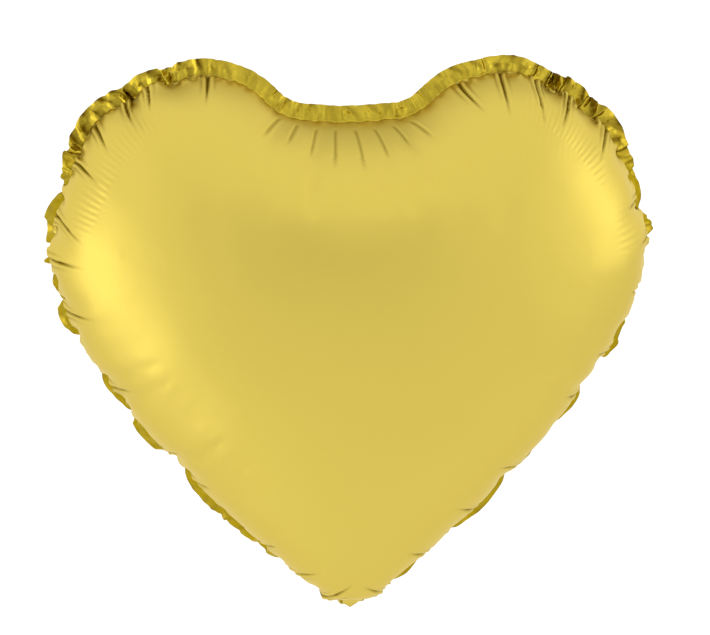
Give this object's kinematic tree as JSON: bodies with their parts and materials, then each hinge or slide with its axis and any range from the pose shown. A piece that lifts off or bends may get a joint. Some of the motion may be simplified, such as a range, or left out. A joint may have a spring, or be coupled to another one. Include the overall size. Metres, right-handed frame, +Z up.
{
  "type": "heart-shaped foil balloon",
  "caption": "Inflated heart-shaped foil balloon with a heat-sealed crimped rim, clear valve films inside and a filling neck that folds up behind the tip.",
  "frame": {"origin": "the fold between the heart's tip and its filling neck, where a ribbon is tied", "axes": "+X across the heart, +Y towards its back, +Z up from the tip to the notch; the front faces -Y"},
  "size_m": [0.362, 0.1946, 0.3251],
  "materials": {
    "front_foil": "satin metallised film",
    "back_foil": "satin metallised film",
    "valve_film": "clear glossy film"
  },
  "bodies": {
    "heart": {"front_foil": "front_foil", "back_foil": "back_foil", "valve_front_film": "valve_film", "valve_back_film": "valve_film"},
    "neck": {"neck_front_foil": "front_foil", "neck_back_foil": "back_foil", "neck_valve_front_film": "valve_film", "neck_valve_back_film": "valve_film"}
  },
  "joints": [
    {"name": "neck_fold", "type": "hinge", "parent": "heart", "child": "neck", "pos_m": [0, 0, 0], "axis": [-1, 0, 0], "range_deg": [0, 212]}
  ]
}
